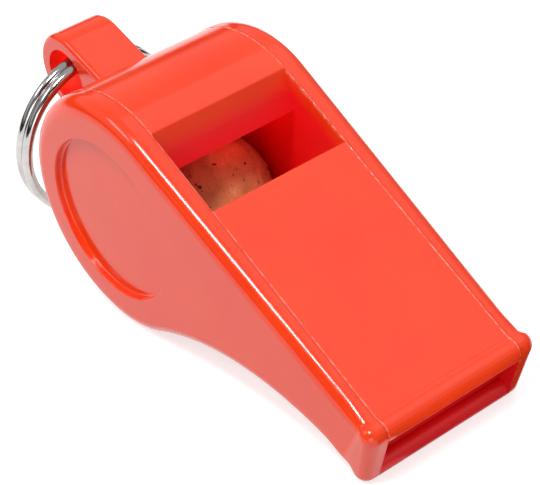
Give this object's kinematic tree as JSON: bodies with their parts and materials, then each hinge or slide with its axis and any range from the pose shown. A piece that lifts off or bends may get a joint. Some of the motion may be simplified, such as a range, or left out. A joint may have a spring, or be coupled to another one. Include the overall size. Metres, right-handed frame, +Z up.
{
  "type": "pea whistle",
  "caption": "Moulded plastic pea whistle with a round barrel, flat windway, cork pea and a wire split ring through its lug.",
  "frame": {"origin": "bottom centre of the box, on the table that the whistle lies on", "axes": "+X from the lug towards the mouth, +Y across to the right side plate, +Z up; the whistle rests on its barrel and its lower lip"},
  "size_m": [0.0564, 0.0208, 0.0244],
  "materials": {
    "shell_plastic": "polished moulding",
    "cork": "raw cork",
    "ring_steel": "nickel plated"
  },
  "bodies": {
    "shell": {"barrel_body": "shell_plastic", "windway_roof": "shell_plastic", "left_side_plate": "shell_plastic", "right_side_plate": "shell_plastic"},
    "pea": {"cork_pea": "cork"},
    "ring": {"split_ring": "ring_steel"}
  },
  "joints": [
    {"name": "pea_orbit", "type": "hinge", "parent": "shell", "child": "pea", "pos_m": [-0.00786, 0, 0.0122], "axis": [0, 1, 0], "continuous": true},
    {"name": "ring_swing", "type": "hinge", "parent": "shell", "child": "ring", "pos_m": [-0.02378, 0, 0.01815], "axis": [0, 1, 0], "range_deg": [-17, 234]}
  ]
}
